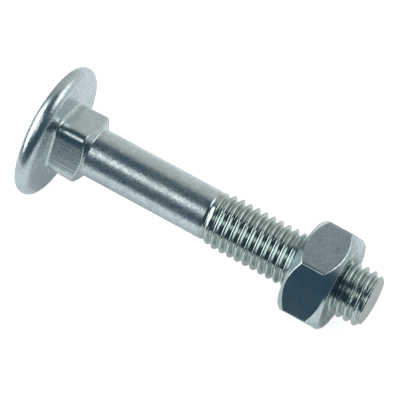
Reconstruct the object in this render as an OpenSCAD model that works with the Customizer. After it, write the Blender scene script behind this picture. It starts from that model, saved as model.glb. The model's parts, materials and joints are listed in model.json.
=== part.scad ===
// Carriage bolt with a hexagon nut, lying on a table as it comes to rest.
// The bolt is one forged piece: domed head, square neck, plain shank and rolled thread.
// The nut is a second piece, screwed part of the way up the thread.

/* [Bolt] */
// Length from the underside of the head to the tail end
length = 60; // [45:1:120]
// Diameter of the plain shank, which is the blank that the thread is rolled on
shank_d = 8.8; // [8.4:0.1:9.4]

/* [Head] */
// Diameter of the domed head
head_d = 24; // [22:0.1:26]
// Height of the dome above the underside of the head
head_h = 5; // [4.2:0.1:5.6]
// Radius of the rounded rim of the head
head_rim_r = 1.5; // [0.8:0.1:1.9]

/* [Square neck] */
// Width of the square neck across its flats
neck_w = 10; // [9.8:0.1:10.6]
// Depth of the neck below the head, with its sloping shoulder
neck_depth = 6.2; // [5:0.1:7]
// Radius of the four long corners of the neck
neck_corner_r = 2.2; // [0.5:0.1:2.4]
// Slope of the shoulder at the front of the neck, measured from the bolt's axis
neck_shoulder_angle = 67; // [50:1:80]
// Radius of the fillet where the neck meets the head
neck_root_r = 0.6; // [0.3:0.1:1]
// Turn of the square about the bolt's axis
neck_turn = 67; // [0:1:90]

/* [Thread] */
// Nominal size of the thread
thread_size = 10; // [9.8:0.1:10.4]
// Pitch of the thread
thread_pitch = 1.5; // [1.25:0.05:1.75]
// Amount by which the crests lie under the nominal size, on the diameter
thread_allowance = 0.2; // [0:0.02:0.3]
// Length of the thread, from the tail end to the start of its run-out
thread_length = 31.5; // [25:0.5:34]
// Length over which the thread fades into the shank
thread_runout = 2.6; // [1:0.1:4]
// Size of the chamfer at the tail end
tail_chamfer = 0.7; // [0.3:0.1:0.8]
// Turn of the thread's start about the bolt's axis
thread_turn = 333; // [0:1:360]

/* [Nut] */
// Width of the nut across its flats
nut_w = 16.8; // [16:0.1:19]
// Height of the nut
nut_h = 8; // [6:0.1:10]
// Diameter of the round face that the outer chamfer leaves on each side of the nut
nut_face_d = 15.7; // [14:0.1:15.9]
// Slope of the outer chamfer, measured from the nut's face
nut_chamfer_angle = 46; // [15:1:50]
// Length of the bolt's tail that stands out of the nut
tail_out = 5.6; // [2:0.1:12]
// Gap between the crests of the thread and the wall of the nut's hole
nut_clearance = 0.06; // [0.03:0.01:0.1]
// Depth of the countersink at each end of the nut's hole
countersink = 0.5; // [0.2:0.1:0.8]

/* [Hidden] */
zinc = [0.76, 0.79, 0.80];
zinc_nut = [0.62, 0.67, 0.70];
round_steps = 96;
past = 1;

// Head: a spherical dome that runs smoothly into a round rim
head_r = head_d / 2;
rim_centre_r = head_r - head_rim_r;
dome_r = (pow(rim_centre_r, 2) + pow(head_h - head_rim_r, 2) - pow(head_rim_r, 2))
    / (2 * (head_h - 2 * head_rim_r));
dome_centre_z = dome_r - head_h;
rim_slope = atan2(rim_centre_r, dome_centre_z + head_rim_r);

// Neck: a square with round corners, cut at the front by a steep cone
shank_r = shank_d / 2;
neck_half = neck_w / 2;
neck_flat = neck_w - 2 * neck_corner_r;
neck_reach = (neck_half - neck_corner_r) * sqrt(2) + neck_corner_r;
shoulder_slope = tan(90 - neck_shoulder_angle);

// Thread: the basic sixty degree form, with flat crests and flat roots
crest_r = (thread_size - thread_allowance) / 2;
pitch_r = (thread_size - 0.6495 * thread_pitch) / 2;
root_r = (thread_size - 1.2269 * thread_pitch) / 2;
crest_flat = thread_pitch / 2 - 2 * (crest_r - pitch_r) * tan(30);
root_flat = thread_pitch / 2 - 2 * (pitch_r - root_r) * tan(30);
flank = (thread_pitch - crest_flat - root_flat) / 2;
thread_start = length - thread_length;
blank_inset = 0.06;
blank_r = shank_r - blank_inset;
tail_r = crest_r - tail_chamfer;
thread_columns = 40;
// Where the corners of one ridge lie along the pitch, and whether each is a crest
ridge_at = [0, flank, flank + crest_flat, 2 * flank + crest_flat];
ridge_top = [0, 1, 1, 0];
ridge_corners = len(ridge_at);

// Nut: its place along the bolt and its hole
nut_from_head = length - tail_out - nut_h;
nut_hole_r = crest_r + nut_clearance;
nut_corner_r = nut_w / 2 / cos(30);
nut_chamfer_slope = tan(nut_chamfer_angle);

// Rest: the head's rim and the lower far edge of the nut touch the table
rest_reach = length - tail_out - (nut_w - nut_face_d) / 2 * nut_chamfer_slope + head_rim_r;
rest_drop = rim_centre_r - nut_w / 2;
rest_angle = asin(head_rim_r / norm([rest_reach, rest_drop])) + atan(rest_drop / rest_reach);
axis_height = rim_centre_r * cos(rest_angle) + head_rim_r * (1 - sin(rest_angle));
left_end = dome_centre_z * cos(rest_angle) - dome_r;
right_end = length * cos(rest_angle) + tail_r * sin(rest_angle);

// Lays a piece that is modelled upright, with its tail up, onto the table
module lay() {
    translate([-(left_end + right_end) / 2, 0, axis_height])
        rotate([0, 90 + rest_angle, 0])
            children();
}

// Half section of the head: dome, rim and flat underside, tangent to each other
module head_section() {
    beyond = dome_r + past;
    intersection() {
        translate([0, dome_centre_z])
            circle(r = dome_r, $fn = round_steps * 2);
        polygon([
            [0, 0],
            [rim_centre_r, 0],
            [rim_centre_r, -head_rim_r],
            [beyond * sin(rim_slope), dome_centre_z - beyond * cos(rim_slope)],
            [0, dome_centre_z - beyond],
        ]);
    }
    translate([rim_centre_r, -head_rim_r])
        circle(r = head_rim_r, $fn = round_steps);
}

module head() {
    rotate_extrude($fn = round_steps)
        head_section();
}

// Square outline with four true round corners
module neck_outline() {
    square([neck_w, neck_flat], center = true);
    square([neck_flat, neck_w], center = true);
    for (x = [-1, 1], y = [-1, 1])
        translate([x * neck_flat / 2, y * neck_flat / 2])
            circle(r = neck_corner_r, $fn = round_steps / 2);
}

// Solid of revolution that trims the front of the neck to a steep cone, which ends in the shank
module shoulder_cone() {
    wide = neck_reach + past;
    narrow = shank_r - past;
    tip = neck_depth + past * shoulder_slope;
    rotate_extrude($fn = round_steps)
        polygon([
            [0, -head_rim_r - past],
            [wide, -head_rim_r - past],
            [wide, neck_depth - (wide - shank_r) * shoulder_slope],
            [narrow, tip],
            [0, tip],
        ]);
}

// Section of a concave fillet in the corner between the x and y axes
module fillet_section(r) {
    difference() {
        square(r);
        translate([r, r])
            circle(r = r, $fn = round_steps / 2);
    }
}

// Fillet that runs round the neck where it meets the head
module neck_root() {
    for (side = [0:3])
        rotate(90 * side) {
            translate([neck_half, neck_flat / 2, 0])
                rotate([90, 0, 0])
                    linear_extrude(neck_flat)
                        fillet_section(neck_root_r);
            translate([neck_flat / 2, neck_flat / 2, 0])
                rotate_extrude(angle = 90, $fn = round_steps)
                    translate([neck_corner_r, 0])
                        fillet_section(neck_root_r);
        }
}

module neck() {
    rotate(neck_turn) {
        intersection() {
            translate([0, 0, -head_rim_r])
                linear_extrude(head_rim_r + neck_depth + past)
                    neck_outline();
            shoulder_cone();
        }
        neck_root();
    }
}

module shank() {
    translate([0, 0, -head_rim_r])
        cylinder(r = shank_r, h = thread_start + head_rim_r, $fn = round_steps);
}

// How much of the full thread stands at a height: none on the shank, all past the run-out
function thread_share(z) = min(1, max(0, (z - thread_start) / thread_runout));

// Radius of a corner of the ridge at a height, faded at the run-out and cut by the tail chamfer
function thread_radius(z, top) =
    min(
        blank_r + thread_share(z) * ((top ? crest_r : root_r) - blank_r),
        max(tail_r + length - z, tail_r - past)
    );

// One polyhedron whose rows of points follow the helix. Each column round the bolt lies a
// little further along it, so the last column meets the first one a whole pitch further on.
module thread() {
    first_z = thread_start - 2 * thread_pitch;
    pitches = ceil((length + past - first_z) / thread_pitch) + 1;
    rows = pitches * ridge_corners;
    columns = thread_columns;

    function row_z(row) = first_z + floor(row / ridge_corners) * thread_pitch
        + ridge_at[row % ridge_corners];
    function corner(column, row) =
        let (
            z = row_z(row) + thread_pitch * column / columns,
            angle = thread_turn + 360 * column / columns,
            r = thread_radius(z, ridge_top[row % ridge_corners] == 1)
        )
        [r * cos(angle), r * sin(angle), z];
    // A point's number, where the column after the last is the first one, one pitch on
    function number(column, row) = column < columns
        ? column * rows + row
        : row + ridge_corners;

    bottom = columns * rows;
    top = bottom + 1;
    points = concat(
        [for (column = [0:columns - 1], row = [0:rows - 1]) corner(column, row)],
        [[0, 0, row_z(0)], [0, 0, row_z(rows - 1) + thread_pitch]]
    );
    // The last column has no neighbour for its topmost pitch of rows
    function rows_at(column) = column < columns - 1 ? rows - 1 : rows - 1 - ridge_corners;
    walls = [
        for (column = [0:columns - 1], row = [0:rows_at(column) - 1])
            each [
                [number(column, row), number(column, row + 1), number(column + 1, row + 1)],
                [number(column, row), number(column + 1, row + 1), number(column + 1, row)],
            ]
    ];
    bottom_cap = [
        for (column = [0:columns - 1]) [bottom, number(column, 0), number(column + 1, 0)],
        for (row = [0:ridge_corners - 1]) [bottom, number(0, row + 1), number(0, row)],
    ];
    top_cap = [
        for (column = [0:columns - 2]) [top, number(column + 1, rows - 1), number(column, rows - 1)],
        [top, number(columns, rows_at(columns - 1)), number(columns - 1, rows_at(columns - 1))],
        for (row = [rows_at(columns - 1):rows - 2])
            [top, number(columns - 1, row), number(columns - 1, row + 1)],
    ];
    intersection() {
        polyhedron(points, concat(walls, bottom_cap, top_cap), convexity = 10);
        cylinder(r = crest_r + past, h = length, $fn = round_steps);
    }
}

module bolt() {
    color(zinc)
        lay()
            union() {
                head();
                neck();
                shank();
                thread();
            }
}

// Solid of revolution that trims the nut's first face to a cone
module chamfer_cone() {
    wide = nut_corner_r + past;
    rotate_extrude($fn = round_steps)
        polygon([
            [0, 0],
            [nut_face_d / 2, 0],
            [wide, (wide - nut_face_d / 2) * nut_chamfer_slope],
            [wide, nut_h + past],
            [0, nut_h + past],
        ]);
}

// Hexagon with both faces chamfered by a cone, which leaves an arc over each flat
module nut_body() {
    intersection() {
        rotate(30)
            cylinder(r = nut_corner_r, h = nut_h, $fn = 6);
        chamfer_cone();
        translate([0, 0, nut_h])
            mirror([0, 0, 1])
                chamfer_cone();
    }
}

module nut_hole() {
    translate([0, 0, -past])
        cylinder(r = nut_hole_r, h = nut_h + 2 * past, $fn = round_steps);
    for (end = [0, 1])
        translate([0, 0, end * nut_h])
            mirror([0, 0, end])
                translate([0, 0, -past])
                    cylinder(
                        r1 = nut_hole_r + countersink + past,
                        r2 = nut_hole_r,
                        h = countersink + past,
                        $fn = round_steps
                    );
}

module hex_nut() {
    color(zinc_nut)
        lay()
            translate([0, 0, nut_from_head])
                difference() {
                    nut_body();
                    nut_hole();
                }
}

bolt();
hex_nut();
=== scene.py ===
"""A zinc-plated carriage bolt with a hexagon nut on its thread, lying on a pale floor.

Sizes are in millimetres, in the bolt's own frame: z runs along the bolt from the underside of its head to
its tail, r is the distance from its axis, and a turn about the axis starts at the side that faces the floor.
Every piece is a grid of stations along its outline times turns about the axis, and lay() takes it from
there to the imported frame, in metres.
"""

import json
import math

import bmesh
import bpy
import numpy as np
from mathutils import Euler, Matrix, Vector


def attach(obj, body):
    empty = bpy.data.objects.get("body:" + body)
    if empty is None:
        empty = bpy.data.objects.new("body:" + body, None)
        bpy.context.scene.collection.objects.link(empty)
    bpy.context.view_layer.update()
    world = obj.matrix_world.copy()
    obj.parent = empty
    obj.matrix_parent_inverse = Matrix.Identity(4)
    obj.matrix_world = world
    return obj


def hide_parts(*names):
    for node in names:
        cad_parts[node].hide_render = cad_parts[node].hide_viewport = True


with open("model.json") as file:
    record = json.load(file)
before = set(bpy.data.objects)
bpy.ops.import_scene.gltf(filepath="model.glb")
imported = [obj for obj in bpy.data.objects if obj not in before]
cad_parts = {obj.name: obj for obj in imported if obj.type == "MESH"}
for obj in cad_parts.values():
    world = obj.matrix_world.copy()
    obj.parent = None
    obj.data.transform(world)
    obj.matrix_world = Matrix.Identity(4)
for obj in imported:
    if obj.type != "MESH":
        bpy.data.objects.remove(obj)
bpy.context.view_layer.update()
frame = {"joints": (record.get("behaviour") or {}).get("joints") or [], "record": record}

MM = 0.001
FULL_TURN = 2 * np.pi

# Bolt
LENGTH = 60.0
SHANK_R = 4.4
HEAD_R = 12.0
HEAD_H = 5.0
RIM_R = 1.5

# Square neck
NECK_HALF = 5.0
NECK_DEPTH = 6.2
NECK_TURN = math.radians(67)
CORNER_AT_HEAD = 2.3
CORNER_AT_SHOULDER = 1.8
ROOT_FILLET = 0.8
SHOULDER_ANGLE = math.radians(67)
SHOULDER_CUT = 0.3
SHANK_CUT = 0.25
UNDERSIDE_START = 0.5

# Thread
PITCH = 1.5
CREST_R = 4.9
ROOT_R = 4.08
CREST_FLAT = 0.303
ROOT_FLAT = 0.25
CREST_CUT = 0.15
ROOT_CUT = 0.12
THREAD_START = 28.5
SHANK_END = THREAD_START - 0.5
PRESSED_OVER = 1.8
RAISED_AFTER = 0.6
RAISED_OVER = 2.8
THREAD_TURN = math.radians(333)
TAIL_CHAMFER = 0.7

# Nut
NUT_W = 16.8
NUT_H = 8.0
NUT_FACE_R = 7.85
NUT_CHAMFER = math.radians(46)
NUT_EDGE_R = 0.3
NUT_FACE_CUT = 0.12
NUT_CHAMFER_CUT = 0.15
NUT_FROM_HEAD = 46.4
HOLE_R = 4.96
COUNTERSINK = 0.5
THREAD_GAP = 0.1

# Fineness of the grids
TURNS = 144
DOME_STEPS = 40
RIM_STEPS = 20
NECK_STEPS = 9
MERGE = 0.0005
FLAT_STEPS = 18
EDGE_STEPS = 6

# Directions of the bolt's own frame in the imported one, and the middle of the head's underside
ALONG = np.array(frame["joints"][0]["axis"])
ACROSS = np.array([0.0, 1.0, 0.0])
DOWN = np.cross(ACROSS, ALONG)
MOUNTS = {mount["name"]: mount for mount in frame["record"]["mounts"]}
SEAT = np.array(MOUNTS["head_bearing"]["pos_m"]) * np.array([1.0, 0.0, 1.0])


def smooth(x):
    """Rises smoothly from 0 to 1 while x goes from 0 to 1: 3x^2 - 2x^3."""
    x = np.clip(x, 0.0, 1.0)
    return x * x * (3 - 2 * x)


def lay(z, r, turn):
    """Points of the bolt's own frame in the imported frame, in metres."""
    x = (r * np.cos(turn))[..., None]
    y = (r * np.sin(turn))[..., None]
    return SEAT + MM * (x * DOWN + y * ACROSS + z[..., None] * ALONG)


def grid_piece(name, z, r, turn):
    """A closed mesh whose points are the rows (stations) and columns (turns) of z and r.

    Each cell of the grid is a face with its outside away from the axis where z rises along the rows.
    The first and last columns meet, and rows that are pressed together at an end become one.
    """
    points = lay(z, r, np.broadcast_to(turn, z.shape)).reshape(-1, 3)
    number = np.arange(z.size).reshape(z.shape)
    corners = (number[:-1, :-1], number[:-1, 1:], number[1:, 1:], number[1:, :-1])
    faces = np.stack(corners, axis=-1).reshape(-1, 4)
    mesh = bpy.data.meshes.new(name)
    mesh.from_pydata(points.tolist(), [], faces.tolist())
    work = bmesh.new()
    work.from_mesh(mesh)
    bmesh.ops.remove_doubles(work, verts=work.verts, dist=MERGE * MM)
    work.to_mesh(mesh)
    work.free()
    mesh.shade_smooth()
    piece = bpy.data.objects.new(name, mesh)
    bpy.context.scene.collection.objects.link(piece)
    return piece


def arc(centre, radius, start, end, turn, steps):
    """Stations on a circular arc in the (z, r) plane, the same at every turn."""
    angle = np.linspace(start, end, steps)
    z = centre[0] + radius * np.sin(angle)
    r = centre[1] + radius * np.cos(angle)
    return np.broadcast_to(np.stack([z, r], axis=1)[:, :, None], (steps, 2, turn.size))


def rounded_path(corners, cuts, turn, steps=5, margin=0.3):
    """Stations along straight lines through corners (z, r), which may differ from turn to turn.

    Each inner corner is cut back by its distance on both sides, and a quadratic curve rounds it:
    (1 - t)^2 before + 2t(1 - t) corner + t^2 after. One more station on each side of the curve, a share
    of the cut further out, keeps the rest of the line flat, and a margin of 0 leaves it out.
    """
    points = np.stack([np.stack(np.broadcast_arrays(z, r, turn)[:2]) for z, r in corners])
    t = np.linspace(0, 1, steps)[:, None, None]
    rows = [points[:1]]
    for before, corner, after, cut in zip(points, points[1:], points[2:], cuts):
        back = (before - corner) / np.linalg.norm(before - corner, axis=0)
        on = (after - corner) / np.linalg.norm(after - corner, axis=0)
        curve = corner + cut * ((1 - t) ** 2 * back + t ** 2 * on)
        if margin:
            outside = (1 + margin) * cut * np.stack([back, on])
            curve = np.concatenate([corner + outside[:1], curve, corner + outside[1:]])
        rows.append(curve)
    rows.append(points[-1:])
    return np.concatenate(rows)


def rounded_square(turn, half, corner):
    """Distance from the axis to a square outline with round corners, at each turn.

    On a flat it is half / cos(a), with a the turn from the middle of the flat. On a corner it is the far
    crossing of the ray with the corner's circle: d cos(b) + sqrt(corner^2 - d^2 sin(b)^2), with d the
    distance of the circle's centre and b the turn from the corner.
    """
    from_flat = np.abs((turn - NECK_TURN + np.pi / 4) % (np.pi / 2) - np.pi / 4)
    from_corner = np.pi / 4 - from_flat
    centre = (half - corner) * math.sqrt(2)
    inside = np.maximum(corner ** 2 - (centre * np.sin(from_corner)) ** 2, 0.0)
    on_corner = centre * np.cos(from_corner) + np.sqrt(inside)
    on_flat = half / np.cos(from_flat)
    return np.where(np.tan(from_flat) <= (half - corner) / half, on_flat, on_corner)


def thread_form():
    """One pitch of the thread, from the middle of a root to the middle of the next: z and r.

    Two flanks of sixty degrees join a rounded root and a rounded crest. Each flank has two more stations
    near its ends, a tenth of its length from them, which keep it straight.
    """
    flank = (PITCH - CREST_FLAT - ROOT_FLAT) / 2
    foot = ROOT_FLAT / 2
    corners = [
        (0.0, ROOT_R),
        (foot, ROOT_R),
        (foot + flank, CREST_R),
        (foot + flank + CREST_FLAT, CREST_R),
        (PITCH - foot, ROOT_R),
        (PITCH, ROOT_R),
    ]
    cuts = (ROOT_CUT, CREST_CUT, CREST_CUT, ROOT_CUT)
    path = rounded_path(corners, cuts, np.zeros(1), steps=4, margin=0)
    z, r = path[:-1, 0, 0], path[:-1, 1, 0]
    long = np.hypot(np.diff(z), np.diff(r)) > flank
    station = np.arange(z.size, dtype=float)
    ends = station[:-1][long][:, None] + np.array([0.1, 0.9])
    station = np.sort(np.append(station, ends.ravel()))
    return np.interp(station, np.arange(z.size), z), np.interp(station, np.arange(z.size), r)


def helix_foot(turn):
    """Height of the middle of one root at each turn: it rises by a pitch in a full turn."""
    return THREAD_START - ROOT_FLAT / 2 + PITCH * (turn - THREAD_TURN) / FULL_TURN


def thread_radius(z, turn):
    """Radius of the full thread at a height and turn, the same one pitch further on."""
    form_z, form_r = thread_form()
    return np.interp((z - helix_foot(turn)) % PITCH, form_z, form_r, period=PITCH)


def helix_rows(low, high, turn):
    """Heights of rows that follow the helix through each corner of the thread, held between two ends.

    A row that is held at an end lies on it until the helix carries it past. The last turn of each row
    meets the first turn of the row one pitch further on, so the rows close up without a step.
    """
    form_z = thread_form()[0]
    first = math.floor((low - helix_foot(FULL_TURN)) / PITCH)
    last = math.ceil((high - helix_foot(0.0)) / PITCH)
    offsets = (np.arange(first, last + 1)[:, None] * PITCH + form_z).ravel()
    return np.clip(helix_foot(turn) + offsets[:, None], low, high)


def head(turn):
    """Dome, round rim and flat underside, from the pole to the foot of the neck's fillet."""
    rim_z, rim_r = -RIM_R, HEAD_R - RIM_R
    dome_r = (rim_r ** 2 + (HEAD_H - RIM_R) ** 2 - RIM_R ** 2) / (2 * (HEAD_H - 2 * RIM_R))
    dome_z = dome_r - HEAD_H
    slope = math.atan2(rim_r, dome_z - rim_z)
    dome = arc((dome_z, 0.0), dome_r, -np.pi / 2, slope - np.pi / 2, turn, DOME_STEPS)
    rim = arc((rim_z, rim_r), RIM_R, slope - np.pi / 2, np.pi / 2, turn, RIM_STEPS)
    return np.concatenate([dome, rim[1:]])


def neck(turn):
    """Fillet under the head, square neck with round corners, steep shoulder and plain shank."""
    at_head = rounded_square(turn, NECK_HALF, CORNER_AT_HEAD)
    at_shoulder = rounded_square(turn, NECK_HALF, CORNER_AT_SHOULDER)
    slope = 1 / math.tan(SHOULDER_ANGLE)
    corners = [
        (0.0, HEAD_R - RIM_R - UNDERSIDE_START),
        (0.0, at_head),
        (NECK_DEPTH - (at_shoulder - SHANK_R) * slope, at_shoulder),
        (NECK_DEPTH, SHANK_R),
        (SHANK_END, SHANK_R),
    ]
    return rounded_path(corners, (ROOT_FILLET, SHOULDER_CUT, SHANK_CUT), turn, NECK_STEPS)


def thread(turn):
    """Rolled thread, which fades into the shank and is cut by the tail's chamfer.

    Its roots are pressed in before its crests rise, because the crests are made of what the roots give.
    """
    z = helix_rows(THREAD_START, LENGTH, turn)
    full = thread_radius(z, turn)
    pressed = smooth((z - THREAD_START) / PRESSED_OVER)
    raised = smooth((z - THREAD_START - RAISED_AFTER) / RAISED_OVER)
    share = np.where(full < SHANK_R, pressed, raised)
    r = SHANK_R + share * (full - SHANK_R)
    return np.stack([z, np.minimum(r, CREST_R - TAIL_CHAMFER + LENGTH - z)], axis=1)


def tail(turn):
    """Flat end of the bolt, from the edge of the thread to the axis."""
    edge = np.minimum(thread_radius(LENGTH, turn), CREST_R - TAIL_CHAMFER)
    share = np.array([0.97, 0.8, 0.4, 0.0])[:, None]
    return np.stack(np.broadcast_arrays(LENGTH, share * edge), axis=1)


def make_bolt():
    turn = np.linspace(0, FULL_TURN, TURNS + 1)
    path = np.concatenate([head(turn), neck(turn), thread(turn), tail(turn)])
    return grid_piece("forged_bolt", path[:, 0], path[:, 1], turn)


def hexagon():
    """Turns and radii round a hexagon whose corners are small arcs, with a flat towards the floor.

    Each corner's arc turns its direction by sixty degrees about a centre on the corner's ray, and evenly
    spaced points carry on along the flat to the next corner.
    """
    centre_r = (NUT_W / 2 - NUT_EDGE_R) / math.cos(np.pi / 6)
    side = np.arange(6)[:, None] * np.pi / 3
    bend = np.linspace(0, np.pi / 3, EDGE_STEPS)
    corner_x = centre_r * np.cos(side + np.pi / 6) + NUT_EDGE_R * np.cos(side + bend)
    corner_y = centre_r * np.sin(side + np.pi / 6) + NUT_EDGE_R * np.sin(side + bend)
    share = np.linspace(0, 1, FLAT_STEPS + 2)[1:-1]
    next_x, next_y = np.roll(corner_x[:, :1], -1, axis=0), np.roll(corner_y[:, :1], -1, axis=0)
    flat_x = corner_x[:, -1:] * (1 - share) + next_x * share
    flat_y = corner_y[:, -1:] * (1 - share) + next_y * share
    x = np.concatenate([corner_x, flat_x], axis=1).ravel()
    y = np.concatenate([corner_y, flat_y], axis=1).ravel()
    turn = np.unwrap(np.arctan2(y, x))
    return np.append(turn, turn[0] + FULL_TURN), np.append(np.hypot(x, y), math.hypot(x[0], y[0]))


def make_nut():
    """Nut as a closed ring: one end face, chamfer, side, chamfer, other end face, then down the hole."""
    turn, outline = hexagon()
    low, high = NUT_FROM_HEAD, NUT_FROM_HEAD + NUT_H
    drop = (outline - NUT_FACE_R) * math.tan(NUT_CHAMFER)
    mouth = HOLE_R + COUNTERSINK
    corners = [
        (low, mouth),
        (low, NUT_FACE_R),
        (low + drop, outline),
        (high - drop, outline),
        (high, NUT_FACE_R),
        (high, mouth),
    ]
    cuts = (NUT_FACE_CUT, NUT_CHAMFER_CUT, NUT_CHAMFER_CUT, NUT_FACE_CUT)
    outside = rounded_path(corners, cuts, turn)
    z = helix_rows(low, high, turn)[::-1]
    depth = np.minimum(z - low, high - z)
    r = np.maximum(thread_radius(z, turn) + THREAD_GAP, mouth - depth)
    path = np.concatenate([outside, np.stack([z, r], axis=1)])
    return grid_piece("hexagon_nut", path[:, 0], path[:, 1], turn)


class Link:
    """An output socket. Arithmetic on it adds Math nodes to its tree."""

    def __init__(self, graph, socket):
        self.graph = graph
        self.socket = socket

    def math(self, operation, first, second):
        return self.graph.node("ShaderNodeMath", {"operation": operation}, {0: first, 1: second})

    def __add__(self, other):
        return self.math("ADD", self, other)

    def __radd__(self, other):
        return self.math("ADD", other, self)

    def __sub__(self, other):
        return self.math("SUBTRACT", self, other)

    def __rsub__(self, other):
        return self.math("SUBTRACT", other, self)

    def __mul__(self, other):
        return self.math("MULTIPLY", self, other)

    def __rmul__(self, other):
        return self.math("MULTIPLY", other, self)

    def __truediv__(self, other):
        return self.math("DIVIDE", self, other)


class Graph:
    """A node tree, emptied. node() adds any node to it."""

    def __init__(self, tree):
        self.tree = tree
        tree.nodes.clear()

    def node(self, kind, settings=None, sockets=None, output=0):
        """Adds a node: its settings first, then the values or links of its sockets."""
        made = self.tree.nodes.new(kind)
        for name, value in (settings or {}).items():
            setattr(made, name, value)
        for name, value in (sockets or {}).items():
            if isinstance(value, Link):
                self.tree.links.new(value.socket, made.inputs[name])
            else:
                made.inputs[name].default_value = value
        return Link(self, made.outputs[output]) if made.outputs else None


def between(graph, value, low, high):
    """0 where value is at or below low, 1 at or above high, and a smooth rise in between."""
    sockets = {"Value": value, "From Min": low, "From Max": high}
    return graph.node("ShaderNodeMapRange", {"interpolation_type": "SMOOTHSTEP"}, sockets)


def window(graph, value, low, high, edge):
    """1 where value lies between low and high, with soft edges of the given width."""
    return between(graph, value, low - edge / 2, low + edge / 2) * (
        1.0 - between(graph, value, high - edge / 2, high + edge / 2)
    )


def noise(graph, vector, scale, detail=2.0):
    sockets = {"Vector": vector, "Scale": scale, "Detail": detail}
    return graph.node("ShaderNodeTexNoise", {}, sockets)


def mix_colour(graph, factor, first, second):
    sockets = {0: factor, 6: first, 7: second}
    return graph.node("ShaderNodeMix", {"data_type": "RGBA"}, sockets, output=2)


def bolt_place(graph, stretch=(1.0, 1.0, 1.0)):
    """Object coordinates turned so that x runs along the bolt from its head, in metres, and stretched."""
    dip = math.asin(-ALONG[2])
    start = Euler((0, -dip, 0)).to_matrix() @ Vector(SEAT)
    place = graph.node("ShaderNodeTexCoord", output="Object")
    turned = graph.node(
        "ShaderNodeMapping", {}, {"Vector": place, "Rotation": (0, -dip, 0), "Location": -start}
    )
    return graph.node("ShaderNodeMapping", {}, {"Vector": turned, "Scale": stretch})


# Plating: noise scales per metre, the turn that keeps flat faces off the noise's lattice, the stretch of
# the drawing marks, where the marks and the painted shade of the thread's roots lie in millimetres, and the
# zones' blend
CLOUD_SCALE = 400.0
MOTTLING_SCALE = 1500.0
GRAIN_SCALE = 2800.0
ASKEW = (0.5, 0.7, 0.3)
DRAWN_STRETCH = (90.0, 3000.0, 3000.0)
DRAWN_FROM, DRAWN_TO, DRAWN_EDGE = 0.3, 6.0, 0.4
ROLLED_TO = THREAD_START + 1.0
# Painted shade: radius up to which the thread's roots and the nut's hole take the darker root colour
PAINTED_SHADE_UP_TO_R = CREST_R + 0.9
ZONE_BLEND = 0.3


def zoned(graph, along, zones):
    """Steps smoothly from one zone's value to the next along the bolt: zones are (start in mm, value)."""
    total = zones[0][1]
    for (start, value), before in zip(zones[1:], zones):
        total = total + (value - before[1]) * between(graph, along, start - ZONE_BLEND, start + ZONE_BLEND)
    return total


def zinc(name, light, dark, root, roughness, grain_height):
    """Bright zinc plating: a cool metal with a fine crystal grain, cloudy patches, drawing marks and painted
    shade.

    light and dark are the colours of the patches, and root is a darker colour painted as shade deep in the
    thread and in the nut's hole, which also darkens the neck a little. roughness is given by zones along the
    bolt. The neck has drawing marks.
    """
    material = bpy.data.materials.new(name)
    material.use_nodes = True
    graph = Graph(material.node_tree)
    place = bolt_place(graph)
    along = graph.node("ShaderNodeSeparateXYZ", {}, {0: place}, output="X") / MM
    flat = graph.node("ShaderNodeVectorMath", {"operation": "MULTIPLY"}, {0: place, 1: (0.0, 1.0, 1.0)})
    length = graph.node("ShaderNodeVectorMath", {"operation": "LENGTH"}, {0: flat}, output="Value")
    from_axis = length / MM
    on_neck = window(graph, along, DRAWN_FROM, DRAWN_TO, DRAWN_EDGE)
    rolled = between(graph, along, SHANK_END, ROLLED_TO)
    # Painted shade: mask for the darker root colour deep in the thread's roots and in the nut's hole
    painted_root_shade = rolled * (1.0 - between(graph, from_axis, ROOT_R, PAINTED_SHADE_UP_TO_R))
    askew = graph.node("ShaderNodeMapping", {}, {"Vector": place, "Rotation": ASKEW})
    clouds = between(graph, noise(graph, askew, CLOUD_SCALE, 3.0), 0.35, 0.65)
    mottling = between(graph, noise(graph, askew, MOTTLING_SCALE), 0.3, 0.7)
    grain = noise(graph, askew, GRAIN_SCALE)
    streaks = noise(graph, bolt_place(graph, DRAWN_STRETCH), 1.0, 1.0)
    patch = 0.15 + 0.3 * clouds + 0.4 * mottling + 1.6 * (grain - 0.5) + on_neck * (streaks - 0.5)
    rough = zoned(graph, along, roughness) * (0.45 + 1.1 * grain) + 0.05 * clouds
    height = (1.0 - 0.8 * rolled - 0.8 * on_neck) * grain + 0.4 * on_neck * streaks
    bump = graph.node(
        "ShaderNodeBump", {}, {"Height": height, "Strength": 1.0, "Distance": grain_height * MM}
    )
    plating = mix_colour(graph, patch, light, dark)
    shader = graph.node(
        "ShaderNodeBsdfPrincipled",
        {},
        {
            # Painted shade in the thread's roots and the nut's hole; 0.4 of the same colour darkens the neck
            "Base Color": mix_colour(graph, painted_root_shade + 0.4 * on_neck, plating, root),
            "Metallic": 1.0,
            "Roughness": rough,
            "Normal": bump,
        },
    )
    graph.node("ShaderNodeOutputMaterial", {}, {"Surface": shader})
    return material


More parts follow.
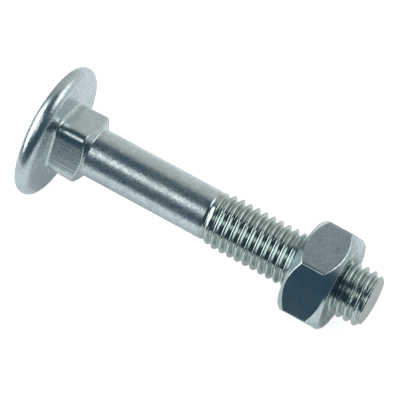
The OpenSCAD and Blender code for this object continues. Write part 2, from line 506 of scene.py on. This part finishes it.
def make_floor():
    """Small white floor. Its diffuse part takes the object's shadow, and its own light whitens it.

    It ends close to the object in front and at both sides, beyond which the polished metal mirrors the
    dark room. Its own light is strong to the camera and faint in the metal.
    """
    left, right, front, back = -0.065, 0.06, -0.055, 0.3
    to_camera, in_metal = 0.75, 0.08
    corners = [(left, front, 0), (right, front, 0), (right, back, 0), (left, back, 0)]
    mesh = bpy.data.meshes.new("floor")
    mesh.from_pydata(corners, [], [(0, 1, 2, 3)])
    floor = bpy.data.objects.new("floor", mesh)
    bpy.context.scene.collection.objects.link(floor)
    material = bpy.data.materials.new("white_floor")
    material.use_nodes = True
    graph = Graph(material.node_tree)
    camera_ray = graph.node("ShaderNodeLightPath", output="Is Camera Ray")
    glossy_ray = graph.node("ShaderNodeLightPath", output="Is Glossy Ray")
    level = to_camera * camera_ray + in_metal * glossy_ray
    lit = graph.node("ShaderNodeBsdfDiffuse", {}, {"Color": (0.8, 0.8, 0.8, 1.0)})
    glow = graph.node("ShaderNodeEmission", {}, {"Color": level, "Strength": 1.0})
    both = graph.node("ShaderNodeAddShader", {}, {0: lit, 1: glow})
    graph.node("ShaderNodeOutputMaterial", {}, {"Surface": both})
    mesh.materials.append(material)


def make_ceiling_lamp():
    """Wide lamp over the floor. It throws the object's shadow and isn't mirrored by the metal."""
    data = bpy.data.lights.new("ceiling_lamp", "SUN")
    data.energy = 1.08
    data.angle = math.radians(100)
    lamp = bpy.data.objects.new("ceiling_lamp", data)
    lamp.visible_glossy = False
    bpy.context.scene.collection.objects.link(lamp)


# Two bright parts of the back wall, then three soft boxes: compass angle from the front towards the
# right and height above the horizon, both as a range in degrees, the width of the soft edge, and the level
STUDIO_LIGHTS = [
    ((120, 200), (-20, 40), 20, 0.67),
    ((135, 180), (36, 60), 16, 0.5),
    ((99, 154), (24, 59), 12, 1.9),
    ((-101, -40), (-2, 50), 10, 2.8),
    ((-36, 4), (43, 64), 10, 1.5),
]
STUDIO_DARK = (0.04, 0.08, 0.113, 1.0)

# The back wall: compass angle, height and soft edges in degrees, and where the compass jumps by a turn
WALL_COMPASS = (100.0, 242.0, 24.0)
WALL_HEIGHT = (-20.0, 60.0, 16.0)
SEAM = (239.9, 240.1)
BACK_WALL = (0.52, 0.50, 0.50, 1.0)


def make_world():
    """Plain studio: a light wall behind, a dark ceiling and front, and three soft boxes.

    The camera itself sees pure white.
    """
    world = bpy.data.worlds.new("studio")
    bpy.context.scene.world = world
    world.use_nodes = True
    graph = Graph(world.node_tree)
    direction = graph.node("ShaderNodeTexCoord", output="Generated")
    x, y, z = (graph.node("ShaderNodeSeparateXYZ", {}, {0: direction}, output=axis) for axis in "XYZ")
    compass = graph.node("ShaderNodeMath", {"operation": "ARCTAN2"}, {0: x, 1: 0.0 - y}) * (180 / math.pi)
    height = graph.node("ShaderNodeMath", {"operation": "ARCSINE"}, {0: z}) * (180 / math.pi)
    from_back = graph.node("ShaderNodeMath", {"operation": "MODULO"}, {0: compass + 360.0, 1: 360.0})
    compass = from_back - 360.0 * between(graph, from_back, *SEAM)
    wall = window(graph, from_back, *WALL_COMPASS) * window(graph, height, *WALL_HEIGHT)
    colour = mix_colour(graph, wall, STUDIO_DARK, BACK_WALL)
    for (left, right), (low, high), edge, level in STUDIO_LIGHTS:
        mask = window(graph, compass, left, right, edge) * window(graph, height, low, high, edge)
        colour = mix_colour(graph, mask, colour, (level, level, level, 1.0))
    seen = graph.node("ShaderNodeLightPath", output="Is Camera Ray")
    colour = mix_colour(graph, seen, colour, (1.0, 1.0, 1.0, 1.0))
    background = graph.node("ShaderNodeBackground", {}, {"Color": colour})
    graph.node("ShaderNodeOutputWorld", {}, {"Surface": background})


def make_camera():
    """Camera of the photograph: a long lens from above, in front and to the right."""
    data = bpy.data.cameras.new("camera")
    data.lens = 365.3
    data.sensor_width = 36.0
    data.clip_start = 0.01
    data.clip_end = 50.0
    camera = bpy.data.objects.new("camera", data)
    camera.location = (0.182051, -0.339033, 0.570086)
    camera.rotation_euler = Euler([math.radians(a) for a in (34.623, -1.441, 30.430)])
    bpy.context.scene.collection.objects.link(camera)
    bpy.context.scene.camera = camera


make_camera()
make_world()
make_floor()
make_ceiling_lamp()

bolt = make_bolt()
bolt.data.materials.append(
    zinc(
        "zinc_plated_steel",
        light=(0.67, 0.765, 0.78, 1),
        dark=(0.49, 0.59, 0.60, 1),
        # root: darker colour painted as shade deep in the thread
        root=(0.47, 0.55, 0.52, 1),
        roughness=[(-9.0, 0.27), (0.0, 0.2), (6.3, 0.27), (29.0, 0.14)],
        grain_height=0.026,
    )
)
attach(bolt, "bolt")
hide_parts("bolt")

nut = make_nut()
nut.data.materials.append(
    zinc(
        "zinc_plated_nut",
        light=(0.64, 0.74, 0.745, 1),
        dark=(0.40, 0.525, 0.55, 1),
        # root: darker colour painted as shade in the nut's hole
        root=(0.4, 0.53, 0.51, 1),
        roughness=[(40.0, 0.17)],
        grain_height=0.008,
    )
)
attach(nut, "nut")
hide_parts("hex_nut")

bpy.context.scene.view_settings.view_transform = "Standard"
